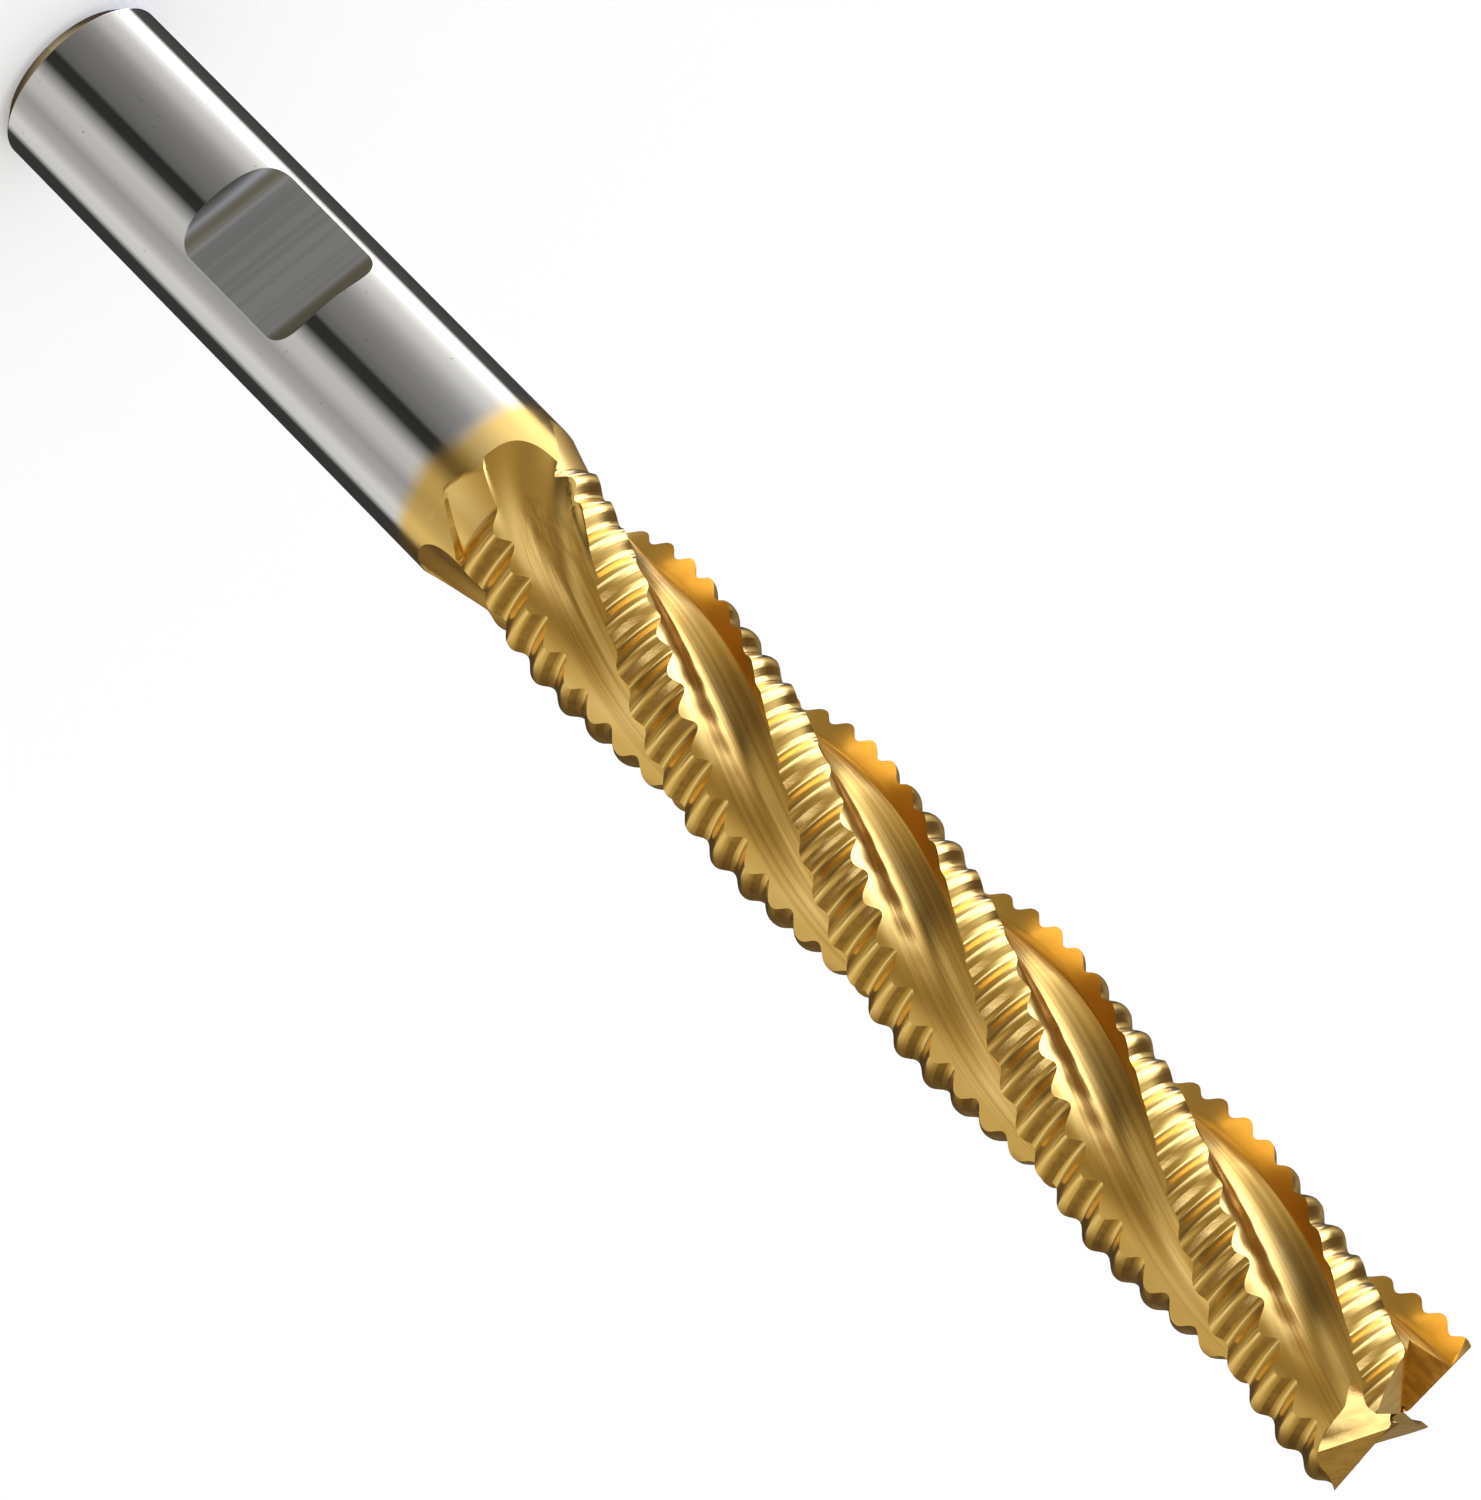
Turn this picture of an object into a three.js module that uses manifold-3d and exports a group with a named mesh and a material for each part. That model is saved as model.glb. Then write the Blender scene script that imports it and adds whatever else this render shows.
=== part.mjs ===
// Four-flute roughing end mill: a ground shank with a side-lock flat, a coated neck where the flutes run out,
// a core that carries four helical teeth with wavy chip breakers, and four end teeth behind V-shaped gashes.
// Z runs along the axis from the centre of the shank's rear face to the cutting tip; the flat faces -Y.
import * as THREE from "three";
import { mergeVertices } from "three/addons/utils/BufferGeometryUtils.js";
import Module from "manifold-3d";

const wasm = await Module();
wasm.setup();

// Overall sizes, in millimetres.
const OVERALL_LENGTH = 127;
const SHANK_DIAMETER = 12.7;
const CUT_DIAMETER = 12.7;
const TEETH_LENGTH = 77.7; // tip to the start of the neck
const NECK_LENGTH = 9; // start of the neck back to the edge of the coating
const REAR_CHAMFER = 1;

// Side-lock flat, ground with a wheel whose rounded edges leave a concave end wall at each end.
const FLAT_DEPTH = 1.68;
const FLAT_LENGTH = 7.6; // full-depth length
const FLAT_CENTRE = 21.95; // from the rear face

// Helix and cross-section of the four flutes; angles in degrees.
const TEETH = 4;
const LEAD = 69.1; // axial length of one full turn
const TIP_EDGE_ANGLE = 25.8; // where the first tooth's corner stands at the tip, from +X
const FLUTE_DEPTH = 2.8; // cutting edge down to the bottom of the flute
const TOOTH_HEIGHT = 1.9; // cutting edge down to the core that the teeth stand on
const RAKE_ANGLE = 10;
const LAND_ANGLE = 32; // cutting edge back to the heel
const HEEL_SLOPE_ANGLE = 8; // heel down to the root
const DEEPEST_ANGLE = 30; // cutting edge ahead to the deepest point of the flute
const HEEL_DROP = 0.62; // how much lower the heel lies than the edge

// Chip breakers: a rounded wave round each land, staggered by a quarter pitch from tooth to tooth.
const KNUCKLE_PITCH = 2.383;
const KNUCKLE_DEPTH = 0.6;
const FIRST_CREST = 1.71; // from the tip, on the first tooth

// Run-outs at the neck: the flutes and the lands rise towards the shank along the arcs of their wheels.
const FLUTE_WHEEL_RADIUS = 18.2;
const FLUTE_RISE_START = 3.5; // from the start of the neck towards the tip
const WHEEL_LEAN = 0.064; // how much nearer the shank the flute reaches, mm per degree ahead of the deepest point
const LAND_WHEEL_RADIUS = 22.5;
const LAND_RISE_START = 1.3; // from the start of the neck towards the shank
const KNUCKLES_IN_NECK = 4; // how far the chip breakers reach into the neck
const NECK_RAKE_ANGLE = 1; // how far ahead of the edge the foot of the rake face stands in the neck

// End teeth: relief strip, back slope and gash floor, each a plane that falls away from the end cutting edge.
const END_LENGTH = 4;
const STRIP_WIDTH = 0.45;
const STRIP_SLOPE = 0.14;
const BACK_SLOPE = 0.45;
const GASH_FALL = 0.762; // outwards, along the next tooth's edge
const GASH_RISE = 0.336; // away from the next tooth's face
const GASH_CENTRE_DEPTH = 0.175;
const DISH = 0.03; // how far the end edges fall towards the centre, per millimetre
const CENTRE_HOLE_DIAMETER = 1.3;
const CENTRE_HOLE_DEPTH = 1.2;

const CLEARANCE = 0.05; // between the portions of the bar
const SHANK_SIDES = 72;
const KNUCKLE_STEPS = 4; // rings per chip breaker
const CORE_STEP = 1.2; // ring spacing where nothing waves
const NECK_STEP = 0.56; // ring spacing in the neck

const SHANK_RADIUS = SHANK_DIAMETER / 2;
const CUT_RADIUS = CUT_DIAMETER / 2;
const CORE_RADIUS = CUT_RADIUS - FLUTE_DEPTH;
const ROOT_RADIUS = CUT_RADIUS - TOOTH_HEIGHT;
const TEETH_START = OVERALL_LENGTH - TEETH_LENGTH;
const COATING_START = TEETH_START - NECK_LENGTH;
const END_START = OVERALL_LENGTH - END_LENGTH;
const TOOTH_PITCH = 360 / TEETH;
const RAKE_BASE = -THREE.MathUtils.radToDeg(
  Math.asin(((CUT_RADIUS - ROOT_RADIUS) * Math.tan(THREE.MathUtils.degToRad(RAKE_ANGLE))) / ROOT_RADIUS),
);
const HEEL_BASE = TOOTH_PITCH - LAND_ANGLE - HEEL_SLOPE_ANGLE;

const STEEL = new THREE.MeshStandardMaterial({ color: 0xb9b8b4, roughness: 0.16, metalness: 1 });
const COATING = new THREE.MeshStandardMaterial({ color: 0xd0a548, roughness: 0.24, metalness: 1 });

// ---------- solids ----------

// A closed geometry through rings of [x, y, z] points that run anticlockwise seen from +Z, capped at both ends.
function loft(rings) {
  const count = rings[0].length;
  const index = [];
  const cap = THREE.ShapeUtils.triangulateShape(rings[0].map(([x, y]) => new THREE.Vector2(x, y)), []);
  const topCap = THREE.ShapeUtils.triangulateShape(rings.at(-1).map(([x, y]) => new THREE.Vector2(x, y)), []);
  const top = (rings.length - 1) * count;
  for (const [a, b, c] of cap) index.push(a, c, b);
  for (const [a, b, c] of topCap) index.push(top + a, top + b, top + c);
  for (let k = 0; k + 1 < rings.length; k++)
    for (let i = 0; i < count; i++) {
      const a = k * count + i;
      const b = k * count + ((i + 1) % count);
      index.push(a, b, b + count, a, b + count, a + count);
    }
  const geometry = new THREE.BufferGeometry();
  geometry.setAttribute("position", new THREE.Float32BufferAttribute(rings.flat(2), 3));
  geometry.setIndex(index);
  return geometry;
}

function toSolid(geometry) {
  const bare = geometry.clone();
  for (const name of Object.keys(bare.attributes)) if (name !== "position") bare.deleteAttribute(name);
  const merged = mergeVertices(bare, 1e-5);
  const mesh = new wasm.Mesh({
    numProp: 3,
    vertProperties: new Float32Array(merged.attributes.position.array),
    triVerts: new Uint32Array(merged.index.array),
  });
  return new wasm.Manifold(mesh);
}

function toGeometry(solid) {
  const mesh = solid.getMesh();
  const geometry = new THREE.BufferGeometry();
  geometry.setAttribute("position", new THREE.BufferAttribute(new Float32Array(mesh.vertProperties), 3));
  geometry.setIndex(new THREE.BufferAttribute(new Uint32Array(mesh.triVerts), 1));
  return geometry;
}

function part(name, geometry, material) {
  const mesh = new THREE.Mesh(geometry, material);
  mesh.name = name;
  mesh.geometry.computeVertexNormals();
  return mesh;
}

// Evenly spaced heights from low to high, no further apart than step.
function heights(low, high, step) {
  const count = Math.ceil((high - low) / step);
  return Array.from({ length: count + 1 }, (_, k) => low + ((high - low) * k) / count);
}

// A ring at height z from [degrees ahead of the first tooth's edge, radius] pairs.
function ring(outline, z) {
  return outline.map(([ahead, radius]) => {
    const angle = THREE.MathUtils.degToRad(TIP_EDGE_ANGLE + ahead - ((OVERALL_LENGTH - z) * 360) / LEAD);
    return [radius * Math.cos(angle), radius * Math.sin(angle), z];
  });
}

// ---------- cross-section ----------

// Depth of the chip-breaker wave below its crest, on one tooth at height z.
function waveDepth(tooth, z) {
  const crest = FIRST_CREST + (tooth * KNUCKLE_PITCH) / TEETH;
  const turns = (OVERALL_LENGTH - z - crest) / KNUCKLE_PITCH;
  return (KNUCKLE_DEPTH * (1 - Math.cos(2 * Math.PI * turns))) / 2;
}

// Heel, middle and edge of a land, lowered by a depth.
function land(depth) {
  return [
    [-LAND_ANGLE, CUT_RADIUS - HEEL_DROP - depth],
    [-LAND_ANGLE / 2, CUT_RADIUS - HEEL_DROP / 2 - depth],
    [0, CUT_RADIUS - depth],
  ];
}

// The flute's floor, a parabola in polar form on each side of its deepest point, from the base of the rake face
// to the base of the heel slope.
function floor(points) {
  return Array.from({ length: points }, (_, k) => {
    const ahead = RAKE_BASE + ((HEEL_BASE - RAKE_BASE) * k) / (points - 1);
    const reach = ahead < DEEPEST_ANGLE ? DEEPEST_ANGLE - RAKE_BASE : HEEL_BASE - DEEPEST_ANGLE;
    return [ahead, CORE_RADIUS + (ROOT_RADIUS - CORE_RADIUS) * ((ahead - DEEPEST_ANGLE) / reach) ** 2];
  });
}

// Rise of a surface whose wheel has moved off by a distance along the bar.
function runOut(distance, wheel) {
  const behind = Math.min(Math.max(0, distance), wheel);
  return wheel - Math.sqrt(wheel ** 2 - behind ** 2);
}

const turned = (outline, tooth) => outline.map(([ahead, radius]) => [ahead + tooth * TOOTH_PITCH, radius]);

// One tooth: heel slope, land, rake face, then back along the root.
function toothOutline(tooth, z) {
  const foot = ROOT_RADIUS + CLEARANCE;
  const heelFoot = HEEL_BASE - TOOTH_PITCH;
  const points = [[heelFoot, foot], ...land(waveDepth(tooth, z)), [RAKE_BASE, foot], [(heelFoot + RAKE_BASE) / 2, foot]];
  return turned(points, tooth);
}

// The core: four flute floors joined by the roots that the teeth stand on.
function coreOutline() {
  const middle = (HEEL_BASE + RAKE_BASE + TOOTH_PITCH) / 2;
  const quarter = [...floor(5), [middle, ROOT_RADIUS]];
  return Array.from({ length: TEETH }, (_, tooth) => turned(quarter, tooth)).flat();
}

// Core and teeth together, as they stand at the tip.
function wholeOutline(z) {
  return Array.from({ length: TEETH }, (_, tooth) =>
    turned([...land(waveDepth(tooth, z)), ...floor(7)], tooth),
  ).flat();
}

// Depth of the chip-breaker wave in the neck: towards the shank it stays at the first trough.
function neckWaveDepth(tooth, z) {
  const trough = OVERALL_LENGTH - FIRST_CREST - (tooth / TEETH + 0.5) * KNUCKLE_PITCH;
  const lowest = TEETH_START - KNUCKLES_IN_NECK;
  const first = trough - Math.floor((trough - lowest) / KNUCKLE_PITCH) * KNUCKLE_PITCH;
  return waveDepth(tooth, Math.max(z, first));
}

// Shank with the flutes and the lands running out: each surface rises towards the shank until it leaves the bar.
function neckOutline(z) {
  const landRise = runOut(TEETH_START - LAND_RISE_START - z, LAND_WHEEL_RADIUS);
  const heelRadius = CUT_RADIUS - HEEL_DROP - KNUCKLE_DEPTH;
  const slopeMiddle = [HEEL_BASE + HEEL_SLOPE_ANGLE / 2, (ROOT_RADIUS + heelRadius) / 2];
  const flute = [...floor(8), slopeMiddle].map(([ahead, radius]) => {
    const lag = WHEEL_LEAN * (ahead - DEEPEST_ANGLE);
    const rise = runOut(TEETH_START + FLUTE_RISE_START - z - lag, FLUTE_WHEEL_RADIUS);
    return [Math.max(NECK_RAKE_ANGLE, ahead), radius + rise];
  });
  return Array.from({ length: TEETH }, (_, tooth) => {
    const quarter = [...land(neckWaveDepth(tooth, z) - landRise), ...flute];
    return turned(quarter.map(([ahead, radius]) => [ahead, Math.min(SHANK_RADIUS, radius)]), tooth);
  }).flat();
}

// ---------- portions of the bar ----------

// Cuts the side-lock flat: a bar across the shank whose lower corners are rounded off towards each end.
function flatCutter() {
  const outline = new THREE.Shape();
  const half = FLAT_LENGTH / 2;
  const beyond = FLAT_DEPTH * 2;
  outline.moveTo(-half - FLAT_DEPTH, beyond);
  outline.lineTo(-half - FLAT_DEPTH, FLAT_DEPTH);
  outline.absarc(-half, FLAT_DEPTH, FLAT_DEPTH, Math.PI, Math.PI * 1.5);
  outline.absarc(half, FLAT_DEPTH, FLAT_DEPTH, Math.PI * 1.5, Math.PI * 2);
  outline.lineTo(half + FLAT_DEPTH, beyond);
  const bar = new THREE.ExtrudeGeometry(outline, { depth: SHANK_DIAMETER, bevelEnabled: false, curveSegments: 6 });
  bar.translate(0, SHANK_RADIUS - FLAT_DEPTH, -SHANK_RADIUS);
  bar.applyMatrix4(
    new THREE.Matrix4().makeBasis(
      new THREE.Vector3(0, 0, 1),
      new THREE.Vector3(0, -1, 0),
      new THREE.Vector3(1, 0, 0),
    ),
  );
  bar.translate(0, 0, FLAT_CENTRE);
  return toSolid(bar);
}

function makeShank(flat) {
  const circle = (radius, z) =>
    Array.from({ length: SHANK_SIDES }, (_, k) => {
      const angle = (2 * Math.PI * k) / SHANK_SIDES;
      return [radius * Math.cos(angle), radius * Math.sin(angle), z];
    });
  const rings = [
    circle(SHANK_RADIUS - REAR_CHAMFER, 0),
    circle(SHANK_RADIUS, REAR_CHAMFER),
    circle(SHANK_RADIUS, COATING_START),
  ];
  return part("shank", toGeometry(toSolid(loft(rings)).subtract(flat)), STEEL);
}

function makeNeck(flat) {
  const rings = heights(COATING_START, TEETH_START, NECK_STEP).map((z) => ring(neckOutline(z), z));
  return part("neck", toGeometry(toSolid(loft(rings)).subtract(flat)), COATING);
}

function makeCore() {
  const rings = heights(TEETH_START, END_START, CORE_STEP).map((z) => ring(coreOutline(), z));
  return part("core", loft(rings), COATING);
}

function makeTooth(tooth) {
  const levels = heights(TEETH_START, END_START, KNUCKLE_PITCH / KNUCKLE_STEPS);
  return part(`tooth_${tooth + 1}`, loft(levels.map((z) => ring(toothOutline(tooth, z), z))), COATING);
}

// A block over one quarter of the tip, from its sloping underside z = down[0] x + down[1] y + down[2] upwards.
function quarterBlock(down, inset = 0) {
  const reach = CUT_DIAMETER;
  const corners = [
    [inset, inset],
    [reach, inset],
    [reach, reach],
    [inset, reach],
  ];
  const under = corners.map(([x, y]) => [x, y, down[0] * x + down[1] * y + down[2]]);
  const over = corners.map(([x, y]) => [x, y, END_LENGTH]);
  return loft([under, over]);
}

// Turns a quarter block so that its X side lies along a tooth's end edge, and lifts it to the tip.
function placeAtTooth(geometry, tooth) {
  geometry.rotateZ(THREE.MathUtils.degToRad(TIP_EDGE_ANGLE + tooth * TOOTH_PITCH));
  geometry.translate(0, 0, OVERALL_LENGTH);
  return toSolid(geometry);
}

function makeEndTeeth() {
  const levels = heights(END_START, OVERALL_LENGTH, KNUCKLE_PITCH / KNUCKLE_STEPS);
  const hole = new THREE.CylinderGeometry(CENTRE_HOLE_DIAMETER / 2, CENTRE_HOLE_DIAMETER / 2, 2 * CENTRE_HOLE_DEPTH, 16);
  hole.rotateX(Math.PI / 2);
  hole.translate(0, 0, OVERALL_LENGTH);
  const strip = [-STRIP_SLOPE, DISH, -DISH * CUT_RADIUS];
  const back = [-BACK_SLOPE, DISH, (BACK_SLOPE - STRIP_SLOPE) * STRIP_WIDTH - DISH * CUT_RADIUS];
  const gash = [-GASH_FALL, GASH_RISE, -GASH_CENTRE_DEPTH];
  let tip = toSolid(loft(levels.map((z) => ring(wholeOutline(z), z)))).subtract(toSolid(hole));
  for (let tooth = 0; tooth < TEETH; tooth++)
    for (const plane of [strip, back, gash]) tip = tip.subtract(placeAtTooth(quarterBlock(plane), tooth));
  return Array.from({ length: TEETH }, (_, tooth) => {
    const quarter = placeAtTooth(quarterBlock([0, 0, -2 * END_LENGTH], CLEARANCE / 2), tooth + TEETH - 1);
    return part(`end_tooth_${tooth + 1}`, toGeometry(tip.intersect(quarter)), COATING);
  });
}

function makeEndMill() {
  const mill = new THREE.Group();
  const flat = flatCutter();
  mill.add(makeShank(flat), makeNeck(flat), makeCore());
  for (let tooth = 0; tooth < TEETH; tooth++) mill.add(makeTooth(tooth));
  mill.add(...makeEndTeeth());
  return mill;
}

export default makeEndMill();
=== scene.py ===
"""Roughing end mill: ground shank, coated neck and four helical teeth with wavy chip breakers.

Laid out as an add-on: sizes and colours are properties, each portion of the tool has its own operator.
"""

import math

import bmesh
import bpy
import numpy as np
from mathutils import Matrix, Vector


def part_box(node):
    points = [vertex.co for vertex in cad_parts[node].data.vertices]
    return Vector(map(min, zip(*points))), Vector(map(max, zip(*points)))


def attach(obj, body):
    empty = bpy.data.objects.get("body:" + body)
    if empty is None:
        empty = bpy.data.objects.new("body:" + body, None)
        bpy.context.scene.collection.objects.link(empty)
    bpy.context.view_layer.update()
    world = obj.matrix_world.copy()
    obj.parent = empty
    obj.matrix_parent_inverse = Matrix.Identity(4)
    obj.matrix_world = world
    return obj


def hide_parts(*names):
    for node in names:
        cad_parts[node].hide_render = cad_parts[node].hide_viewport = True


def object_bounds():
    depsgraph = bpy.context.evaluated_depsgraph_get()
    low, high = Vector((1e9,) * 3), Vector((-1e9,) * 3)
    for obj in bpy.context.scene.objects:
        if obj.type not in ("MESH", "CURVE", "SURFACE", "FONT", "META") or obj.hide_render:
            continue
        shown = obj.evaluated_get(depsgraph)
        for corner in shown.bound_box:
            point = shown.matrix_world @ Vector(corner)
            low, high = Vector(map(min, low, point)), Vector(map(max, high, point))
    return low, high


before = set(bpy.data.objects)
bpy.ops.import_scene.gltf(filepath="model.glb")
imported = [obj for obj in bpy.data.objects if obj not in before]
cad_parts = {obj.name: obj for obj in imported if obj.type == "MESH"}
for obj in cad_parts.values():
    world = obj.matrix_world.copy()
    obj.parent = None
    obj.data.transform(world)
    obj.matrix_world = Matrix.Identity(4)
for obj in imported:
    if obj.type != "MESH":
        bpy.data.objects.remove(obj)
CAD_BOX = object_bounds()

bl_info = {
    "name": "Roughing End Mill",
    "version": (1, 0, 0),
    "blender": (4, 5, 0),
    "location": "View3D > Sidebar > End Mill",
    "description": "Builds a four-flute roughing end mill with a side-lock shank",
    "category": "Add Mesh",
}

MM = 0.001
DEG = math.pi / 180
TEETH = 4
TOOL_NODES = ("neck", "core", *(f"tooth_{k}" for k in range(1, 5)), *(f"end_tooth_{k}" for k in range(1, 5)))

SHANK_LOW, SHANK_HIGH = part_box("shank")
OVERALL_LENGTH = CAD_BOX[1].z - CAD_BOX[0].z
COATING_START = SHANK_HIGH.z
TEETH_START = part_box("neck")[1].z
SHANK_RADIUS = (SHANK_HIGH.x - SHANK_LOW.x) / 2


# ---------- sizes and colours ----------


def length(name, description, default):
    return bpy.props.FloatProperty(
        name=name, description=description, default=default, unit="LENGTH", precision=5
    )


def angle(name, description, default):
    return bpy.props.FloatProperty(name=name, description=description, default=default * DEG, subtype="ANGLE")


def factor(name, description, default):
    return bpy.props.FloatProperty(
        name=name, description=description, default=default, min=0, max=1, subtype="FACTOR"
    )


def colour(name, description, default):
    return bpy.props.FloatVectorProperty(
        name=name, description=description, default=default, size=3, min=0, max=1, subtype="COLOR"
    )


class ShankSizes(bpy.types.PropertyGroup):
    chamfer: length("Rear chamfer", "Width of the chamfer round the rear face", 1.0 * MM)
    flat_depth: length("Flat depth", "Depth of the side-lock flat below the round", 1.68 * MM)
    flat_length: length("Flat length", "Full-depth length of the side-lock flat", 7.6 * MM)
    flat_centre: length("Flat centre", "Rear face to the middle of the flat", 21.95 * MM)
    edge_break: length("Edge break", "Rounding of the chamfer's edges", 0.12 * MM)


class CutterSizes(bpy.types.PropertyGroup):
    radius: length("Cutting radius", "Axis to the crest of the teeth", SHANK_RADIUS)
    core_radius: length("Core radius", "Axis to the deepest point of a flute", 3.55 * MM)
    root_radius: length("Root radius", "Axis to the foot of the rake face", 4.45 * MM)
    lead: length("Lead", "Axial length of one turn of the helix", 69.1 * MM)
    tip_angle: angle("Tip angle", "Where the first tooth's corner stands at the tip", 25.8)
    rake: angle("Rake", "Lean of the rake face", 10)
    land: angle("Land", "Cutting edge back to the heel", 32)
    deepest: angle("Deepest", "Cutting edge ahead to the deepest point of the flute", 28)
    heel_drop: length("Heel drop", "How much lower the heel lies than the edge", 0.62 * MM)
    pitch: length("Chip breaker pitch", "Crest to crest along the axis", 2.383 * MM)
    depth: length("Chip breaker depth", "Crest to trough", 0.6 * MM)
    first_crest: length("First crest", "Tip to the first crest on the first tooth", 1.71 * MM)
    flute_wheel: length("Flute wheel", "Radius of the flute's run-out", 18.2 * MM)
    flute_start: length("Flute run-out", "Upper end of the neck to where the flute starts to rise", 3.5 * MM)
    land_wheel: length("Land wheel", "Radius of the land's run-out", 22.5 * MM)
    land_start: length("Land run-out", "Upper end of the neck back to where the land starts to rise", 1.3 * MM)
    in_neck: length("Chip breakers in neck", "How far the chip breakers reach into the neck", 4 * MM)


class EndSizes(bpy.types.PropertyGroup):
    strip: length("Relief strip", "Width of the relief behind an end edge", 0.45 * MM)
    strip_slope: factor("Strip slope", "Fall of the relief strip", 0.14)
    back_slope: factor("Back slope", "Fall of the clearance behind the strip", 0.45)
    gash_fall: factor("Gash fall", "Fall of the gash floor outwards", 0.762)
    gash_rise: factor("Gash rise", "Rise of the gash floor away from the next tooth", 0.336)
    gash_depth: length("Gash depth", "Depth of the gash at the axis", 0.175 * MM)
    gash_behind: length("Gash face", "How far the gash face stands behind the radial line", 0.35 * MM)
    dish: factor("Dish", "Fall of the end edges towards the axis", 0.03)
    hole: length("Centre hole", "Radius of the centre hole in the tip", 0.65 * MM)
    hole_depth: length("Centre hole depth", "Tip to the bottom of the centre hole", 1.6 * MM)


class Finish(bpy.types.PropertyGroup):
    steel: colour("Ground steel", "Bare shank", (0.78, 0.77, 0.745))
    coating: colour("Coating", "Gold-coloured hard coating", (0.9, 0.6, 0.172))
    flat: colour("Flat", "Milled side-lock flat", (0.32, 0.317, 0.276))
    floor: colour("Floor", "Plain pale floor", (0.97, 0.97, 0.97))


# ---------- meshes ----------


def new_piece(name, vertices, faces, materials):
    """A mesh object at the origin, its place in its mesh."""
    mesh = bpy.data.meshes.new(name)
    mesh.from_pydata(vertices, [], faces)
    mesh.update()
    piece = bpy.data.objects.new(name, mesh)
    bpy.context.scene.collection.objects.link(piece)
    for material in materials:
        mesh.materials.append(material)
    return piece


def ring_faces(rows, columns):
    """Quads between neighbouring rings of a grid that closes on itself round the axis."""
    k = np.arange(rows - 1)[:, None] * columns
    i = np.arange(columns)[None, :]
    ahead = (i + 1) % columns
    quads = np.stack([k + i, k + ahead, k + columns + ahead, k + columns + i], axis=-1)
    return quads.reshape(-1, 4).tolist()


def round_bar(name, profile, sides, materials):
    """A solid of revolution: x = r cos a, y = r sin a, with (r, z) taken along the profile."""
    turn = np.linspace(0, 2 * math.pi, sides, endpoint=False)
    r, z = np.array(profile).T
    heights = np.broadcast_to(z[:, None], (len(z), sides))
    grid = np.stack([r[:, None] * np.cos(turn), r[:, None] * np.sin(turn), heights], axis=-1)
    faces = ring_faces(len(z), sides)
    faces.append(list(range(sides))[::-1])
    faces.append([(len(z) - 1) * sides + i for i in range(sides)])
    return new_piece(name, grid.reshape(-1, 3), faces, materials)


def prism(name, low, high, materials):
    """A block between two polygons of the same length, the lower one listed anticlockwise from above."""
    count = len(low)
    faces = ring_faces(2, count)
    faces.append(list(range(count))[::-1])
    faces.append([count + i for i in range(count)])
    return new_piece(name, [*low, *high], faces, materials)


def cut(piece, cutter):
    """Takes the cutter's volume out of the piece and removes the cutter."""
    step = piece.modifiers.new("cut", "BOOLEAN")
    step.operation = "DIFFERENCE"
    step.solver = "MANIFOLD"
    step.object = cutter
    depsgraph = bpy.context.evaluated_depsgraph_get()
    made = bpy.data.meshes.new_from_object(piece.evaluated_get(depsgraph), depsgraph=depsgraph)
    old = piece.data
    piece.modifiers.clear()
    piece.data = made
    name = old.name
    bpy.data.meshes.remove(old)
    made.name = name
    spare = cutter.data
    bpy.data.objects.remove(cutter)
    bpy.data.meshes.remove(spare)


FACET_LEAN = 0.4
FACET_ANGLE = 4 * DEG
ROUND_ENOUGH = 0.98
SQUARE_ENOUGH = 1 - 1e-5
SURFACE_SLACK = 0.002 * MM


def shade(piece, sharp_angle):
    """Smooth faces, with edges over an angle kept sharp. Between two facets of the tip a small one is enough."""
    work = bmesh.new()
    work.from_mesh(piece.data)
    for face in work.faces:
        face.smooth = True
    for edge in work.edges:
        at_tip = all(face.normal.z > FACET_LEAN for face in edge.link_faces)
        if len(edge.link_faces) == 2 and edge.calc_face_angle(0) > (FACET_ANGLE if at_tip else sharp_angle):
            edge.smooth = False
    work.to_mesh(piece.data)
    work.free()


def round_normals(piece, radius):
    """Gives the ground cylinder's faces the cylinder's own normals, and faces square to an axis their own."""
    mesh = piece.data
    points = np.empty(len(mesh.vertices) * 3)
    mesh.vertices.foreach_get("co", points)
    points = points.reshape(-1, 3)
    corners = np.empty(len(mesh.loops), dtype=np.int64)
    mesh.loops.foreach_get("vertex_index", corners)
    starts = np.empty(len(mesh.polygons), dtype=np.int64)
    mesh.polygons.foreach_get("loop_start", starts)
    away = np.hypot(points[:, 0], points[:, 1])
    counts = np.diff(np.append(starts, len(corners)))
    facing = np.empty(len(mesh.polygons) * 3)
    mesh.polygons.foreach_get("normal", facing)
    facing = np.repeat(facing.reshape(-1, 3), counts, axis=0)
    outwards = (facing[:, :2] * points[corners, :2]).sum(axis=1) / away[corners]
    on_bar = (away > radius - SURFACE_SLACK)[corners] & (outwards > ROUND_ENOUGH)
    whole = np.repeat(np.logical_and.reduceat(on_bar, starts), counts)
    normals = np.zeros((len(corners), 3))
    normals[whole, :2] = points[corners[whole], :2] / away[corners[whole], None]
    square = (np.abs(facing).max(axis=1) > SQUARE_ENOUGH) & ~whole
    normals[square] = facing[square]
    mesh.normals_split_custom_set(normals.tolist())


def make_outward(piece):
    """Turns the faces of a closed mesh so that they all point out of it."""
    work = bmesh.new()
    work.from_mesh(piece.data)
    bmesh.ops.recalc_face_normals(work, faces=work.faces)
    work.to_mesh(piece.data)
    work.free()


# ---------- the cutter's surfaces ----------


WHEEL_MOST = 0.98
RAKE_SHARE = 0.2
PROUD = 0.3 * MM
WHEEL_REACH = 27 * DEG
LOW_BOW = 9.2 * MM
HIGH_BOW = 12.5 * MM
HEEL_BEND = 1.8
TROUGH_POWER = 1.3
LAND_SKEW = 5.7 * MM
LAND_MIDDLE = -8 * DEG

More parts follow.
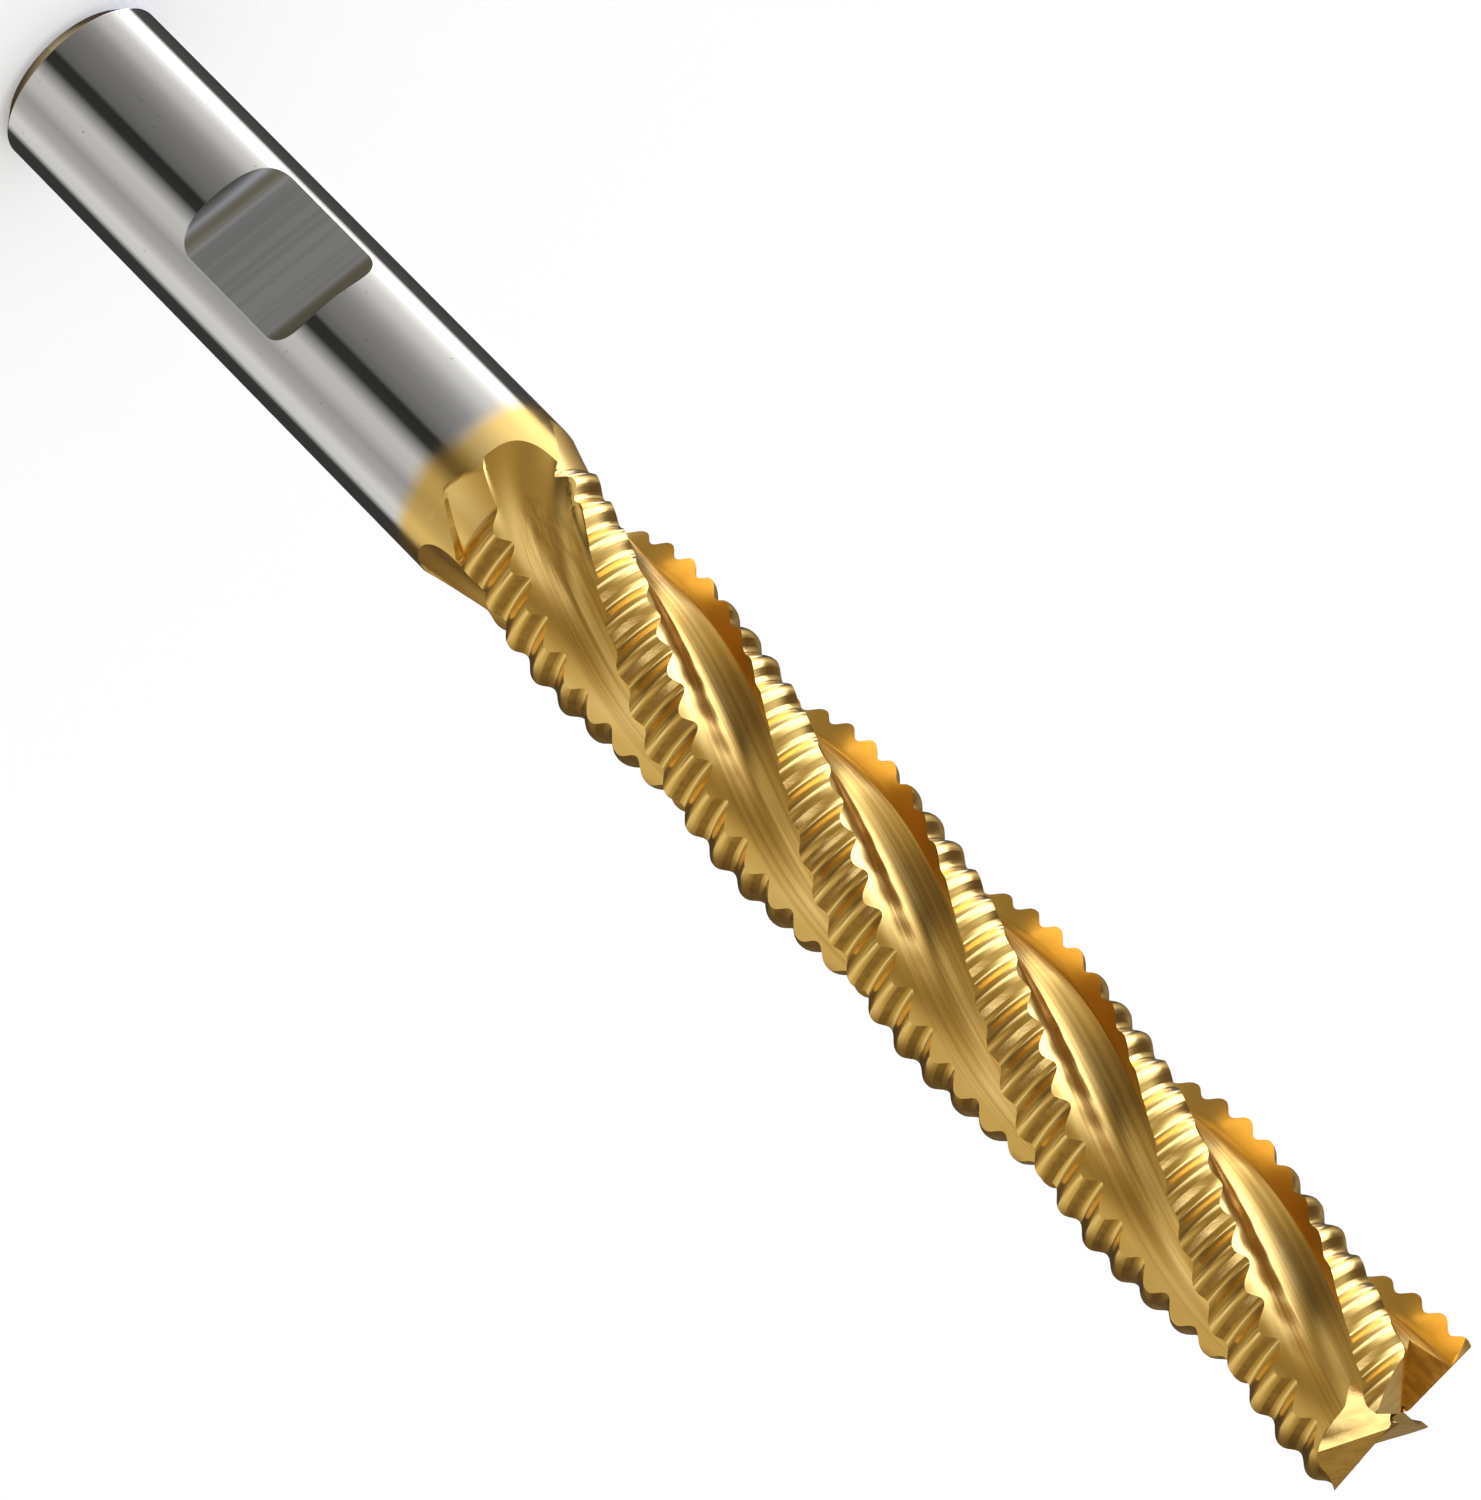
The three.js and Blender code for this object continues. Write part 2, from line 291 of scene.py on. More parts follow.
# The wall that ends a land's run-out: its level in mm, the height above it that is straight, its angle there in
# degrees, its lean in degrees per mm, and its curl above the straight part.
WALL_WIDTH = 2.2 * DEG
WALL_MARGIN = 3 * DEG
WALL_LEVEL, WALL_STRAIGHT = 42.8, 2
WALL_START, WALL_LEAN, WALL_CURL = -4, 2.09, 3

# Where a flute is closed, its columns stand together here, and an open one keeps these parts of its width.
CLOSED_SHARE, CLOSED_HALF = 0.62, 0.004
RAKE_LEAST, FLOOR_LEAST = 0.05, 0.3

# Ring spacing, both in mm: up to a height above the start of the teeth, then the step that is used there.
RING_STEPS = ((-7.1, 0.2), (-5.5, 0.035), (4, 0.12))
TEETH_STEP = 0.2 * MM
TOP_SPARE = 0.1 * MM
OVER_TIP = 0.4 * MM

# The blocks that cut the tip: reach in cutting radii, overlap past the axis, height above the tip.
END_REACH = 1.6
END_OVERLAP = 0.0137 * MM
ABOVE_TIP = 8 * MM
HOLE_SIDES = 48


def run_out(behind, wheel):
    """Height of a wheel's arc: wheel less the root of wheel squared less distance squared, zero ahead of it."""
    behind = np.clip(behind, 0, wheel * WHEEL_MOST)
    return wheel - np.sqrt(wheel**2 - behind**2)


def flute_curve(c, share):
    """One flute across, from above the edge to above the heel.

    Up to RAKE_SHARE a straight line leans back to the root. The floor is then a parabola down to the deepest
    angle. Past it the rise is bend times the square less (bend less one) times the cube of the way to the heel,
    so it is steepest three quarters of the way up, and it carries on straight above the heel.
    """
    rake_foot = -math.asin((c.radius - c.root_radius) * math.tan(c.rake) / c.root_radius)
    top = c.radius + PROUD
    down = np.clip(share / RAKE_SHARE, 0, 1)
    r_rake = top + (c.root_radius - top) * down
    a_rake = rake_foot * (c.radius - r_rake) / (c.radius - c.root_radius)
    heel_rise = c.radius - c.heel_drop - c.core_radius
    heel_reach = math.tau / TEETH - c.land - c.deepest
    slope = 3 - HEEL_BEND
    last = c.deepest + heel_reach * (1 + ((top - c.core_radius) / heel_rise - 1) / slope)
    a_floor = rake_foot + (last - rake_foot) * np.clip((share - RAKE_SHARE) / (1 - RAKE_SHARE), 0, 1)
    aside = a_floor - c.deepest
    r_low = (c.root_radius - c.core_radius) * (aside / (c.deepest - rake_foot)) ** 2
    up = np.clip(aside / heel_reach, 0, 1)
    beyond = np.clip(aside / heel_reach - 1, 0, None)
    r_high = heel_rise * (up**2 * (HEEL_BEND - (HEEL_BEND - 1) * up) + slope * beyond)
    r_floor = c.core_radius + np.where(aside < 0, r_low, r_high)
    return np.where(share < RAKE_SHARE, a_rake, a_floor), np.where(share < RAKE_SHARE, r_rake, r_floor)


def flute_surface(c, share, z):
    """The flute with its run-out: the wheel's contact line lies square to the helix, so it reaches a point
    further ahead round the bar nearer to the shank. The line also bows, by the cube of the angle on the edge
    side of the deepest point and by its square on the heel side."""
    ahead, radius = flute_curve(c, share)
    aside = np.clip(ahead - c.deepest, -WHEEL_REACH, WHEEL_REACH)
    bow = np.where(aside > 0, HIGH_BOW * aside**2, LOW_BOW * aside**3)
    skew = c.radius * (math.tau * c.radius / c.lead) * aside + bow
    start = TEETH_START + c.flute_start
    return ahead, radius + run_out(start - z - skew, c.flute_wheel)


def first_trough(c, tooth):
    """Height at which a tooth's chip breakers begin: its lowest trough within their reach into the neck."""
    trough = c.first_crest + tooth * c.pitch / TEETH + c.pitch / 2
    count = np.floor((OVERALL_LENGTH - TEETH_START + c.in_neck - trough) / c.pitch)
    return OVERALL_LENGTH - trough - count * c.pitch


def land_surface(c, ahead, z, tooth):
    """Top of a tooth: the cutting radius less the relief behind the edge and less a wave along the axis.

    The wave is a cosine raised to a power a little over one, so its crests are broader than its troughs.
    Towards the shank the wave stops at a trough, and the land rises on its wheel's arc to the bar's surface.
    """
    start = first_trough(c, tooth)
    crest = c.first_crest + tooth * c.pitch / TEETH
    wave = ((1 - np.cos(math.tau * (OVERALL_LENGTH - z - crest) / c.pitch)) / 2) ** TROUGH_POWER
    wave = np.where(z < start, 1, wave)
    relief = c.heel_drop * np.clip(-ahead / c.land, 0, 2)
    skew = LAND_SKEW * (ahead - LAND_MIDDLE)
    rise = run_out(TEETH_START - c.land_start - z - skew, c.land_wheel)
    low = c.radius - relief - c.depth * wave + rise
    step = np.clip((ahead - wall_angle(z)) / WALL_WIDTH, 0, 1)
    low = low + (c.radius - low) * step
    return np.minimum(c.radius, low)


def wall_angle(z):
    """Where the land's run-out ends on the edge side, as an angle ahead of the edge, against the height."""
    up = z / MM - WALL_LEVEL
    return (WALL_START + WALL_LEAN * up + WALL_CURL * np.clip(up - WALL_STRAIGHT, 0, None) ** 2) * DEG


LAND_COLUMNS, WALL_COLUMNS, ROUND_COLUMNS = 13, 1, 5
RAKE_COLUMNS, FLOOR_COLUMNS = 4, 23
SAMPLES = 320


def flute_limits(c, z, tooth):
    """Shares at which the flute's surface leaves the bar on the edge side and on the heel side, by height."""
    share = np.linspace(0, 1, SAMPLES)
    ahead, low = flute_surface(c, share[None, None, :], z)
    own = land_surface(c, ahead, z, tooth)
    following = land_surface(c, ahead - math.tau / TEETH, z, (tooth + 1) % TEETH)
    top = np.where(ahead < c.deepest / 2, own, following)
    gap = low - top
    inside = gap < 0
    first = np.argmax(inside, axis=-1)
    last = SAMPLES - 1 - np.argmax(inside[..., ::-1], axis=-1)
    open_here = inside.any(axis=-1)

    def crossing(outer, inner):
        g0 = np.take_along_axis(gap, outer[..., None], -1)[..., 0]
        g1 = np.take_along_axis(gap, inner[..., None], -1)[..., 0]
        return share[outer] + (share[inner] - share[outer]) * np.clip(g0 / (g0 - g1 + 1e-12), 0, 1)

    low_share = crossing(np.clip(first - 1, 0, None), first)
    high_share = crossing(np.clip(last + 1, None, SAMPLES - 1), last)
    low_share = np.where(open_here, low_share, CLOSED_SHARE - CLOSED_HALF)
    return low_share, np.where(open_here, high_share, CLOSED_SHARE + CLOSED_HALF)


def blend_steps(low, high, count, ends):
    """count evenly spaced values from low to high, the last left out unless ends is set."""
    steps = np.linspace(0, 1, count + 1)[: count + 1 if ends else count]
    return low[..., None] + (high - low)[..., None] * steps


def cutter_grid(c, heights):
    """Points of the fluted part, in rings. Each ring takes the teeth in turn: down the rake face and along the
    flute's floor to the next heel, then over that land to its edge. Also the columns per flute and per tooth."""
    z = heights[:, None, None]
    tooth = np.arange(TEETH)[None, :, None]
    low, high = flute_limits(c, z, tooth)
    width = high - low
    rake_end = np.clip(RAKE_SHARE, low + RAKE_LEAST * width, high - FLOOR_LEAST * width)
    share = np.concatenate(
        [
            blend_steps(low, rake_end, RAKE_COLUMNS, False),
            blend_steps(rake_end, high, FLOOR_COLUMNS, True),
        ],
        axis=-1,
    )
    ahead, radius = flute_surface(c, share, z)
    radius = np.minimum(radius, c.radius)
    edge = ahead[..., 0]
    heel = np.roll(ahead[..., -1], 1, axis=1) - math.tau / TEETH
    wall = np.clip(wall_angle(heights)[:, None], heel + WALL_MARGIN, edge - WALL_MARGIN)
    land = np.concatenate(
        [
            blend_steps(heel, wall, LAND_COLUMNS, False),
            blend_steps(wall, wall + WALL_WIDTH, WALL_COLUMNS, False),
            blend_steps(wall + WALL_WIDTH, edge, ROUND_COLUMNS, False),
        ],
        axis=-1,
    )[..., 1:]
    land_radius = land_surface(c, land, z, tooth)
    turn = np.concatenate([ahead, np.roll(land, -1, axis=1) + math.tau / TEETH], axis=-1)
    out = np.concatenate([radius, np.roll(land_radius, -1, axis=1)], axis=-1)
    theta = c.tip_angle + tooth * (math.tau / TEETH) + turn - (OVERALL_LENGTH - z) * math.tau / c.lead
    grid = np.stack([out * np.cos(theta), out * np.sin(theta), np.broadcast_to(z, out.shape)], axis=-1)
    return grid.reshape(len(heights), -1, 3), ahead.shape[-1], out.shape[-1]


def cutter_heights(top):
    """Ring heights: close together where the flutes and lands run out, wider along the teeth."""
    levels = []
    low = COATING_START
    for high, step in RING_STEPS:
        levels.append(np.arange(low, TEETH_START + high * MM, step * MM))
        low = levels[-1][-1] + step * MM
    return np.concatenate([*levels, np.arange(low, top - TOP_SPARE, TEETH_STEP), [top]])


def fluted_body(c, materials):
    """The fluted bar from the coating's start to just over the tip, before the end faces are cut."""
    grid, flute_count, tooth_count = cutter_grid(c, cutter_heights(OVERALL_LENGTH + OVER_TIP))
    rows, columns = grid.shape[:2]
    faces = ring_faces(rows, columns)
    faces.append(list(range(columns))[::-1])
    faces.append([(rows - 1) * columns + i for i in range(columns)])
    piece = new_piece("cutter", grid.reshape(-1, 3), faces, materials)
    mark_sharp_columns(piece, columns, tooth_count, {0, flute_count - 1, RAKE_COLUMNS})
    return piece


def mark_sharp_columns(piece, columns, tooth_count, sharp_columns):
    """Keeps the edge, the heel and the foot of the rake face crisp: sharp edges up the grid at their columns."""
    mesh = piece.data
    pairs = np.empty(len(mesh.edges) * 2, dtype=np.int64)
    mesh.edges.foreach_get("vertices", pairs)
    pairs = pairs.reshape(-1, 2)
    same = pairs[:, 0] % columns == pairs[:, 1] % columns
    chosen = np.isin(pairs[:, 0] % columns % tooth_count, list(sharp_columns))
    mesh.attributes.new("sharp_edge", "BOOLEAN", "EDGE").data.foreach_set("value", same & chosen)


def end_cutters(c, e, materials):
    """Blocks over each quarter of the tip: relief strip, clearance behind it and gash floor. Then the hole."""
    reach = c.radius * END_REACH
    strip = (-e.strip_slope, e.dish, -e.dish * c.radius, 0)
    back = (-e.back_slope, e.dish, (e.back_slope - e.strip_slope) * e.strip - e.dish * c.radius, 0)
    gash = (-e.gash_fall, e.gash_rise, -e.gash_depth, -e.gash_behind)
    for tooth in range(TEETH):
        a = c.tip_angle + tooth * math.tau / TEETH
        turn = np.array([[math.cos(a), -math.sin(a)], [math.sin(a), math.cos(a)]])
        for number, (along, across, lift, inset) in enumerate((strip, back, gash)):
            start = -END_OVERLAP * (number + 1)
            corners = np.array([[start, inset + start], [reach, inset + start], [reach, reach], [start, reach]])
            under = along * corners[:, 0] + across * corners[:, 1] + lift + OVERALL_LENGTH
            flat = corners @ turn.T
            low = np.column_stack([flat, under])
            high = np.column_stack([flat, np.full(4, OVERALL_LENGTH + ABOVE_TIP)])
            yield prism(f"end_cut_{tooth}_{number}", low.tolist(), high.tolist(), materials)
    around = np.linspace(0, math.tau, HOLE_SIDES, endpoint=False)
    rim = np.column_stack([e.hole * np.cos(around), e.hole * np.sin(around)])
    depths = (OVERALL_LENGTH - e.hole_depth, OVERALL_LENGTH + ABOVE_TIP)
    low, high = (np.column_stack([rim, np.full(len(rim), depth)]).tolist() for depth in depths)
    yield prism("centre_hole", low, high, materials)


# ---------- materials ----------


# Turn of the marks at the tip, and how far below the cutting radius the flutes' streaks start and are full.
END_MARK_TURN = 35 * DEG
FLUTE_FROM, FLUTE_FULLY = 1.3 * MM, 1.8 * MM


def add(tree, kind, values=None, **settings):
    """A node of a kind, with its settings, and its inputs set or linked by name or number."""
    node = tree.nodes.new(kind)
    for key, value in settings.items():
        setattr(node, key, value)
    for key, value in (values or {}).items():
        if isinstance(value, bpy.types.NodeSocket):
            tree.links.new(value, node.inputs[key])
        else:
            node.inputs[key].default_value = value
    return node


def calc(tree, operation, a, b=0.0):
    """The result of one sum on numbers or sockets."""
    return add(tree, "ShaderNodeMath", {0: a, 1: b}, operation=operation).outputs[0]


def ramp_between(tree, value, low, high):
    """Smooth step from 0 at low to 1 at high."""
    limits = {"Value": value, "From Min": low, "From Max": high}
    return add(tree, "ShaderNodeMapRange", limits, interpolation_type="SMOOTHSTEP").outputs["Result"]


def turned_about(tree, axis, vector, by):
    """A vector turned about an axis through the origin."""
    return add(tree, "ShaderNodeVectorRotate", {"Vector": vector, "Angle": by}, rotation_type=axis).outputs[0]


def mix_colour(tree, share, a, b, blend="MIX"):
    """Colour a and colour b mixed by a share from 0 to 1."""
    return add(tree, "ShaderNodeMix", {0: share, 6: a, 7: b}, data_type="RGBA", blend_type=blend).outputs[2]


def group(name, inputs, outputs):
    """An empty node group with named inputs (kind, default) and outputs (kind)."""
    tree = bpy.data.node_groups.new(name, "ShaderNodeTree")
    for label, (kind, default) in inputs.items():
        socket = tree.interface.new_socket(label, in_out="INPUT", socket_type=kind)
        if default is not None:
            socket.default_value = default
    for label, kind in outputs.items():
        tree.interface.new_socket(label, in_out="OUTPUT", socket_type=kind)
    return tree, tree.nodes.new("NodeGroupInput"), tree.nodes.new("NodeGroupOutput")


def follow_helix_group():
    """Turns each height back by its share of the lead, so that streaks drawn along Z follow the flutes."""
    tree, given, result = group(
        "Follow Helix",
        {"Vector": ("NodeSocketVector", None), "Lead": ("NodeSocketFloat", 0.0691)},
        {"Vector": "NodeSocketVector"},
    )
    parts = add(tree, "ShaderNodeSeparateXYZ", {0: given.outputs["Vector"]})
    turns = calc(tree, "DIVIDE", parts.outputs[2], given.outputs["Lead"])
    back = calc(tree, "MULTIPLY", turns, -math.tau)
    turned = turned_about(tree, "Z_AXIS", given.outputs["Vector"], back)
    tree.links.new(turned, result.inputs[0])
    return tree


def grinding_group():
    """Fine streaks left by a wheel: noise stretched along Z, in a fine and a coarse width."""
    tree, given, result = group(
        "Grinding Streaks",
        {
            "Vector": ("NodeSocketVector", None),
            "Width": ("NodeSocketFloat", 0.0001),
            "Length": ("NodeSocketFloat", 0.004),
        },
        {"Height": "NodeSocketFloat", "Tone": "NodeSocketFloat"},
    )
    parts = add(tree, "ShaderNodeSeparateXYZ", {0: given.outputs["Vector"]})
    across = [calc(tree, "DIVIDE", parts.outputs[k], given.outputs["Width"]) for k in (0, 1)]
    along = calc(tree, "DIVIDE", parts.outputs[2], given.outputs["Length"])
    stretched = add(tree, "ShaderNodeCombineXYZ", {0: across[0], 1: across[1], 2: along}).outputs[0]
    fine = add(tree, "ShaderNodeTexNoise", {"Vector": stretched, "Scale": 1.0, "Detail": 3.0, "Roughness": 0.6})
    coarse = add(
        tree, "ShaderNodeTexNoise", {"Vector": stretched, "Scale": 0.23, "Detail": 2.0, "Roughness": 0.5}
    )
    fine_part = calc(tree, "MULTIPLY", fine.outputs[0], 0.6)
    coarse_part = calc(tree, "MULTIPLY", coarse.outputs[0], 0.4)
    tree.links.new(calc(tree, "ADD", fine_part, coarse_part), result.inputs[0])
    tree.links.new(ramp_between(tree, coarse.outputs[0], 0.35, 0.65), result.inputs[1])
    return tree


def coating_edge_group():
    """Where the coating begins: a soft step in height, made uneven by slow noise."""
    tree, given, result = group(
        "Coating Edge",
        {
            "Vector": ("NodeSocketVector", None),
            "Start": ("NodeSocketFloat", 0.0),
            "Width": ("NodeSocketFloat", 0.001),
        },
        {"Mask": "NodeSocketFloat"},
    )
    height = add(tree, "ShaderNodeSeparateXYZ", {0: given.outputs["Vector"]}).outputs[2]
    slow = add(tree, "ShaderNodeTexNoise", {"Vector": given.outputs["Vector"], "Scale": 180.0, "Detail": 2.0})
    wobble = calc(tree, "MULTIPLY", calc(tree, "SUBTRACT", slow.outputs[0], 0.5), given.outputs["Width"])
    above = calc(tree, "SUBTRACT", calc(tree, "ADD", height, wobble), given.outputs["Start"])
    past = calc(tree, "DIVIDE", above, given.outputs["Width"])
    tree.links.new(ramp_between(tree, past, -0.5, 0.5), result.inputs[0])
    return tree


def use_group(tree, inner, values):
    """A node group placed in a material with its own values."""
    return add(tree, "ShaderNodeGroup", values, node_tree=inner)


def metal_material(name, roughness):
    """A metal and its object coordinates. A roughness that varies is linked over the plain one."""
    material = bpy.data.materials.new(name)
    material.use_nodes = True
    tree = material.node_tree
    shader = tree.nodes["Principled BSDF"]
    shader.inputs["Metallic"].default_value = 1.0
    shader.inputs["Roughness"].default_value = roughness
    place = tree.nodes.new("ShaderNodeTexCoord").outputs["Object"]
    return material, tree, shader, place


def four(rgb):
    """A colour with full opacity."""
    return (*rgb, 1.0)


def coated_colour(tree, place, tools, finish):
    """Bare steel below the coating's edge and gold above it."""
    mask = use_group(
        tree, tools["edge"], {"Vector": place, "Start": COATING_START, "Width": 1.9 * MM}
    ).outputs["Mask"]
    return mix_colour(tree, mask, four(finish.steel), four(finish.coating)), mask


def ground_roughness(tree, place, mask):
    """Slow variation over a ground bar, a little duller under the coating."""
    cloud = add(tree, "ShaderNodeTexNoise", {"Vector": place, "Scale": 160.0, "Detail": 3.0})
    rough = calc(tree, "ADD", calc(tree, "MULTIPLY", cloud.outputs[0], 0.05), 0.04)
    return calc(tree, "ADD", rough, calc(tree, "MULTIPLY", mask, 0.13))


def shank_material(tools, finish):
    """Ground bar: near mirror, with faint specks and slow changes of gloss, gold past the coating's edge."""
    material, tree, shader, place = metal_material("ground_steel", 0.12)
    base, mask = coated_colour(tree, place, tools, finish)
    speck = add(tree, "ShaderNodeTexNoise", {"Vector": place, "Scale": 2600.0, "Detail": 1.0})
    dot = ramp_between(tree, speck.outputs[0], 0.73, 0.8)
    specked = mix_colour(tree, calc(tree, "MULTIPLY", dot, 0.35), base, (0.16, 0.14, 0.12, 1))
    tree.links.new(specked, shader.inputs["Base Color"])
    tree.links.new(ground_roughness(tree, place, mask), shader.inputs["Roughness"])
    return material


def flat_material(tools, finish):
    """Milled flat: dull grey with marks that run across the bar."""
    material, tree, shader, place = metal_material("milled_flat", 0.42)
    across = turned_about(tree, "Y_AXIS", place, math.pi / 2)
    marks = use_group(tree, tools["grinding"], {"Vector": across, "Width": 0.13 * MM, "Length": 9 * MM})
    tone = mix_colour(tree, marks.outputs["Tone"], (0.85, 0.85, 0.84, 1), (1.0, 1.0, 0.99, 1))
    tree.links.new(mix_colour(tree, 1.0, four(finish.flat), tone, "MULTIPLY"), shader.inputs["Base Color"])
    height = marks.outputs["Height"]
    bump = add(tree, "ShaderNodeBump", {"Height": height, "Strength": 0.25, "Distance": 0.01 * MM})
    tree.links.new(bump.outputs[0], shader.inputs["Normal"])
    return material


def coating_material(tools, finish, c):
    """Gold coating: smooth on the lands, streaked along the helix in the flutes and straight over the tip."""
    material, tree, shader, place = metal_material("gold_coating", 0.2)
    base, mask = coated_colour(tree, place, tools, finish)
    helix = use_group(tree, tools["helix"], {"Vector": place, "Lead": c.lead}).outputs[0]
    streaks = use_group(tree, tools["grinding"], {"Vector": helix, "Width": 0.075 * MM, "Length": 11 * MM})
    across = add(tree, "ShaderNodeVectorMath", {0: place, 1: (1, 1, 0)}, operation="MULTIPLY")
    radius = add(tree, "ShaderNodeVectorMath", {0: across.outputs[0]}, operation="LENGTH").outputs["Value"]
    inside = ramp_between(tree, radius, c.radius - FLUTE_FROM, c.radius - FLUTE_FULLY)
    end_marks, facing_tip = end_face_marks(tree, place, tools)
    darker, lighter = (0.78, 0.72, 0.64, 1), (1.0, 1.0, 1.0, 1)
    streaked = mix_colour(tree, inside, lighter, mix_colour(tree, streaks.outputs["Tone"], darker, lighter))
    end_tone = mix_colour(tree, end_marks.outputs["Tone"], (0.84, 0.8, 0.74, 1), lighter)
    streaked = mix_colour(tree, facing_tip, streaked, end_tone)
    tree.links.new(mix_colour(tree, 1.0, base, streaked, "MULTIPLY"), shader.inputs["Base Color"])
    rough = calc(tree, "ADD", calc(tree, "MULTIPLY", inside, 0.02), ground_roughness(tree, place, mask))
    tree.links.new(rough, shader.inputs["Roughness"])
    flute_height = calc(tree, "MULTIPLY", inside, streaks.outputs["Height"])
    end_height = end_marks.outputs["Height"]
    height = add(tree, "ShaderNodeMix", {0: facing_tip, 2: flute_height, 3: end_height}).outputs[0]
    bump = add(tree, "ShaderNodeBump", {"Height": height, "Strength": 0.45, "Distance": 0.03 * MM})
    tree.links.new(bump.outputs[0], shader.inputs["Normal"])
    return material


def end_face_marks(tree, place, tools):
    """Straight grinding marks for the facets at the tip, and a mask that is 1 where a face looks along Z."""
    lying = turned_about(tree, "Y_AXIS", turned_about(tree, "Z_AXIS", place, END_MARK_TURN), math.pi / 2)
    marks = use_group(tree, tools["grinding"], {"Vector": lying, "Width": 0.13 * MM, "Length": 20 * MM})
    facing = add(tree, "ShaderNodeSeparateXYZ", {0: tree.nodes.new("ShaderNodeNewGeometry").outputs["Normal"]})
    return marks, ramp_between(tree, facing.outputs[2], 0.45, 0.6)


def node_tools():
    """The node groups, each built once for all materials."""
    return {"helix": follow_helix_group(), "grinding": grinding_group(), "edge": coating_edge_group()}


# ---------- operators ----------


class ENDMILL_OT_shank(bpy.types.Operator):
    """Build the ground shank with its chamfer and side-lock flat"""

    bl_idname = "endmill.shank"
    bl_label = "Build Shank"

    def execute(self, context):
        s, finish = context.scene.endmill_shank, context.scene.endmill_finish
        steel, milled = shank_material(TOOLS, finish), flat_material(TOOLS, finish)
        piece = round_bar("shank_bar", self.profile(s), 256, [steel, milled])
        cut(piece, self.flat_cutter(s, [steel, milled]))
        shade(piece, 20 * DEG)
        round_normals(piece, SHANK_RADIUS)
        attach(piece, "root")
        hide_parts("shank")
        return {"FINISHED"}

    def profile(self, s):
        """Rear face, chamfer with both edges broken by short arcs, then the straight side."""
        corner = 22.5 * DEG
        bend = s.edge_break
        inner, outer = SHANK_RADIUS - s.chamfer, SHANK_RADIUS
        steps = np.linspace(0, 2 * corner, 5)
        back = bend * math.tan(corner)
        rear = [(inner - back + bend * math.sin(t), bend - bend * math.cos(t)) for t in steps]
        top = s.chamfer + back
        side = [(outer - bend + bend * math.sin(t), top - bend * math.cos(t)) for t in steps + 2 * corner]
        levels = np.linspace(s.chamfer + 2 * back, COATING_START, 12)[1:]
        return [*rear, *side, *((outer, z) for z in levels)]

    def flat_cutter(self, s, materials):
        """A bar across the shank, its section a rectangle whose lower corners are quarter circles."""
        half, deep = s.flat_length / 2, s.flat_depth
        turn = np.linspace(0, math.pi / 2, 25)
        left = np.column_stack([-half - deep * np.cos(turn), deep - deep * np.sin(turn)])
        right = np.column_stack([half + deep * np.sin(turn), deep - deep * np.cos(turn)])
        section = np.vstack([left, right, [[half + deep, 3 * deep], [-half - deep, 3 * deep]]])
        z = s.flat_centre + section[:, 0]
        y = -(SHANK_RADIUS - deep) - section[:, 1]
        reach = SHANK_RADIUS * 1.2
        low = np.column_stack([np.full(len(z), -reach), y, z])
        high = np.column_stack([np.full(len(z), reach), y, z])
        cutter = prism("flat_cut", high[::-1].tolist(), low[::-1].tolist(), materials)
        make_outward(cutter)
        for face in cutter.data.polygons:
            face.material_index = 1
        return cutter


class ENDMILL_OT_cutter(bpy.types.Operator):
    """Build the neck, flutes, teeth and end teeth as one ground surface"""

    bl_idname = "endmill.cutter"
    bl_label = "Build Cutter"

    def execute(self, context):
        c, e = context.scene.endmill_cutter, context.scene.endmill_end
        material = coating_material(TOOLS, context.scene.endmill_finish, c)
        piece = fluted_body(c, [material])
        for cutter in end_cutters(c, e, [material]):
            cut(piece, cutter)
        shade(piece, 32 * DEG)
        round_normals(piece, c.radius)
        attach(piece, "root")
        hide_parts(*TOOL_NODES)
        return {"FINISHED"}


CAMERA_AZIMUTH = 14 * DEG
CAMERA_ELEVATION = 20 * DEG
CAMERA_ROLL = 135.42 * DEG
CAMERA_DISTANCE = 0.503
CAMERA_LENS = 191.9
AIM_HEIGHT = 66.5 * MM


